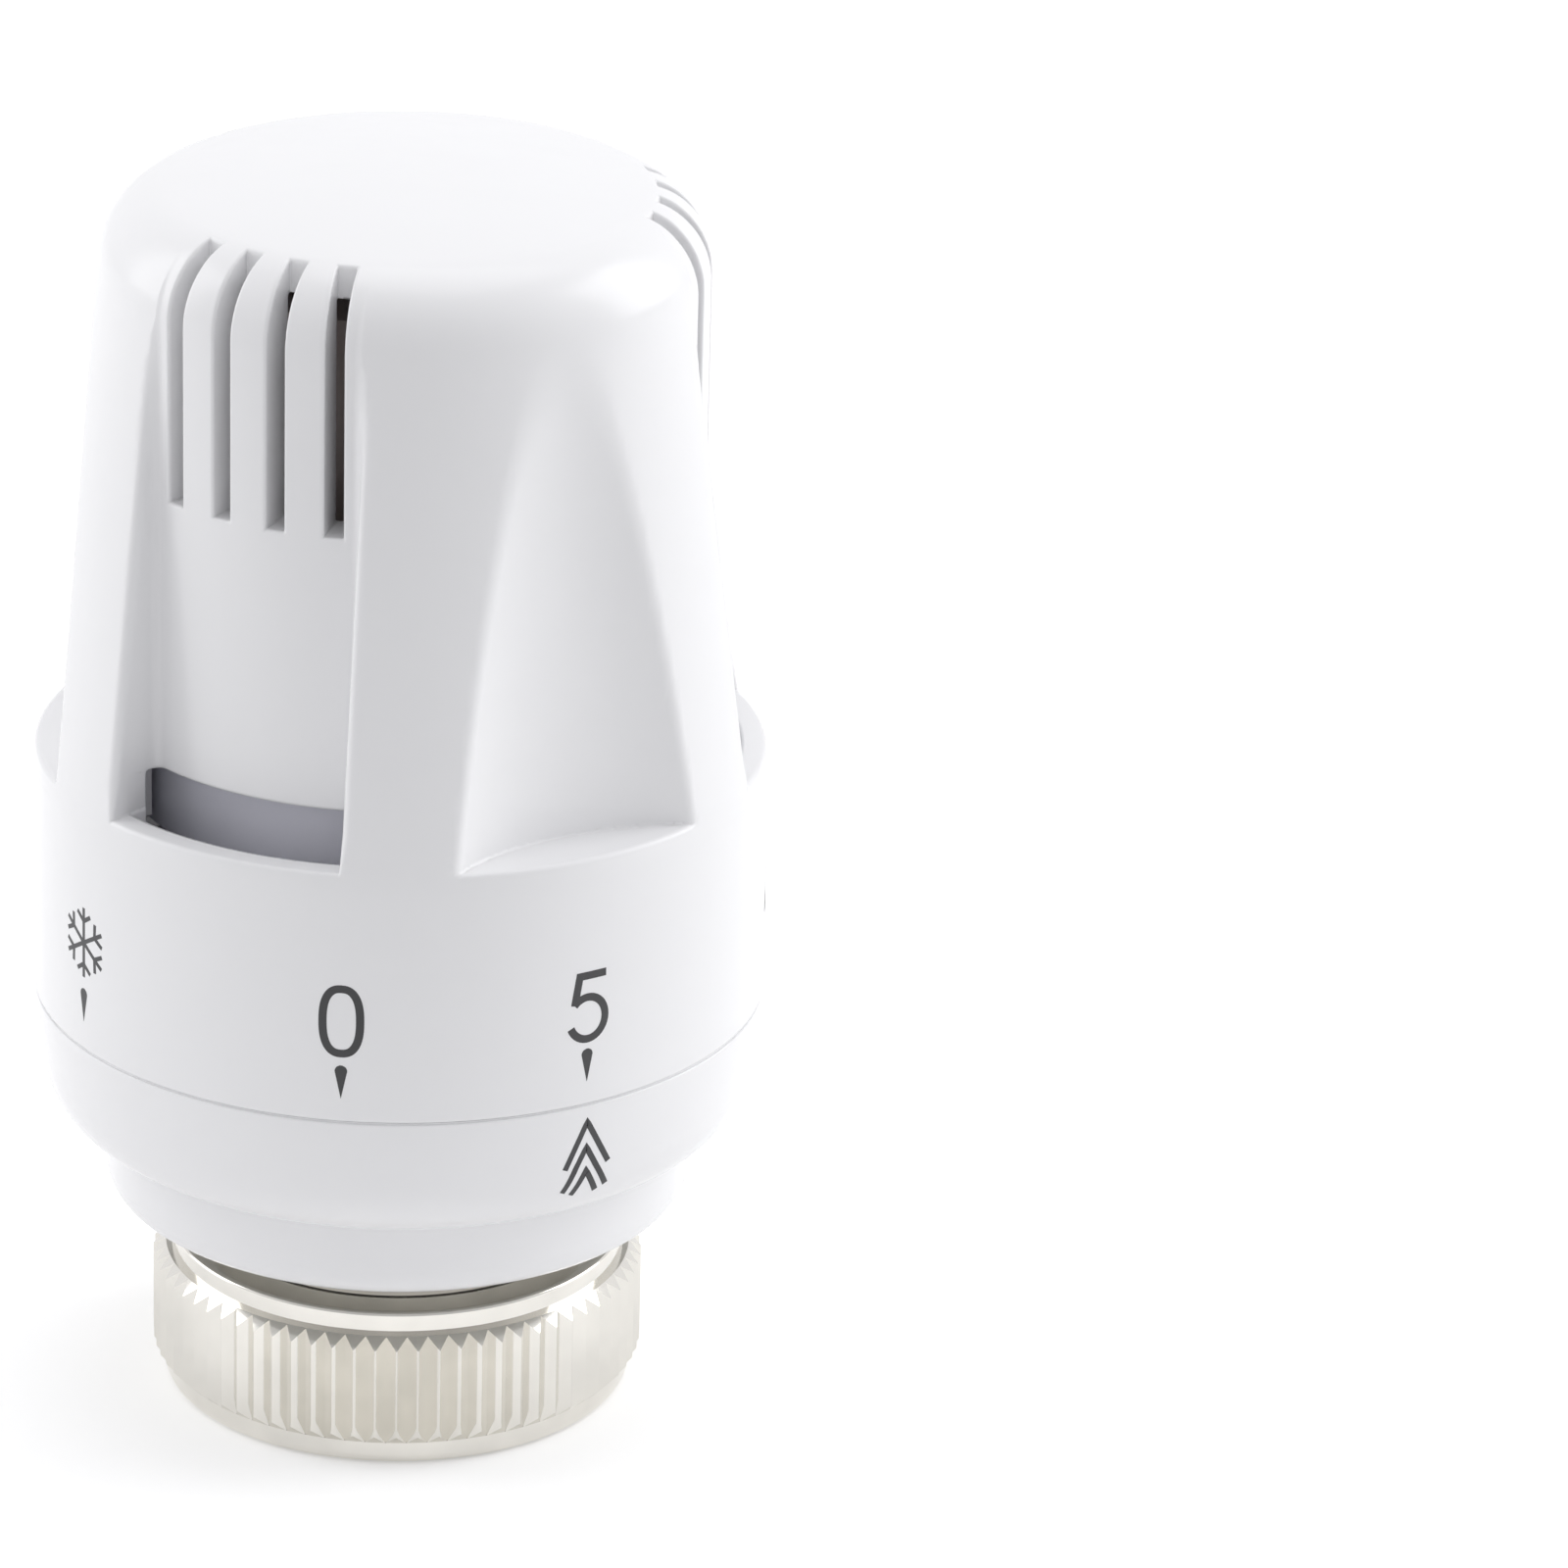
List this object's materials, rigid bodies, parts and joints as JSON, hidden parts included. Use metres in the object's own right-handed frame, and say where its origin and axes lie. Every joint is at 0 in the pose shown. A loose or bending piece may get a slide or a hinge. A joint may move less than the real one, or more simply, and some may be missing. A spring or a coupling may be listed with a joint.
{
  "type": "thermostatic radiator valve head",
  "caption": "White thermostatic radiator valve head: numbered dial with louvred windows and finger scoops turns on a fixed index ring and moves a liquid sensor, over a knurled union nut.",
  "frame": {"origin": "middle of the union nut's lower face, on the axis of the dial, the nut and the push rod", "axes": "+Z along that axis, from the nut up to the dial's dome; -Y towards the side that the picture looks at"},
  "size_m": [0.05, 0.05, 0.0878],
  "materials": {
    "white_plastic": "smooth moulded gloss",
    "nickel": "nickel plated, bright",
    "steel": "drawn wire and stamped sheet",
    "rubber": "smooth",
    "dark_plastic": "fine matt moulding",
    "brass": "turned",
    "copper": "drawn",
    "grey_plastic": "smooth moulding"
  },
  "bodies": {
    "base": {"base_body": "white_plastic", "index_ring": "white_plastic", "guide_bush": "brass", "nut_snap_ring": "steel", "dial_snap_ring": "steel", "friction_ring": "rubber", "return_spring": "steel"},
    "nut": {"union_nut": "nickel"},
    "dial": {"dial_cap": "white_plastic", "thread_bush": "dark_plastic"},
    "carrier": {"sensor_carrier": "white_plastic", "spring_cap": "dark_plastic", "overtravel_spring": "steel"},
    "sensor": {"sensor_can": "brass", "sensor_end_plate": "brass", "fill_tube": "copper", "spring_seat": "steel", "sensor_bellows": "brass"},
    "rod": {"sensor_pin": "steel", "push_rod": "grey_plastic", "push_rod_tip": "steel", "push_rod_clip": "steel"}
  },
  "joints": [
    {"name": "nut_spin", "type": "hinge", "parent": "base", "child": "nut", "pos_m": [0, 0, 0.01], "axis": [0, 0, 1], "continuous": true},
    {"name": "dial_turn", "type": "hinge", "parent": "base", "child": "dial", "pos_m": [0, 0, 0.0325], "axis": [0, 0, 1], "range_deg": [-321, 0]},
    {"name": "carrier_slide", "type": "slide", "parent": "base", "child": "carrier", "axis": [0, 0, 1], "range_m": [-0.0045, 0]},
    {"name": "sensor_overtravel", "type": "slide", "parent": "carrier", "child": "sensor", "axis": [0, 0, 1], "range_m": [0, 0.002], "stiffness_N_per_m": 15000, "springref_m": -0.003, "deforming": ["overtravel_spring"]},
    {"name": "pin_stroke", "type": "slide", "parent": "sensor", "child": "rod", "axis": [0, 0, 1], "range_m": [-0.0022, 0], "stiffness_N_per_m": 1500, "springref_m": 0.003, "deforming": ["sensor_bellows", "return_spring"]}
  ],
  "couplings": [
    {"joint": "carrier_slide", "follows": "dial_turn", "m_per_rad": 0.00079577}
  ]
}
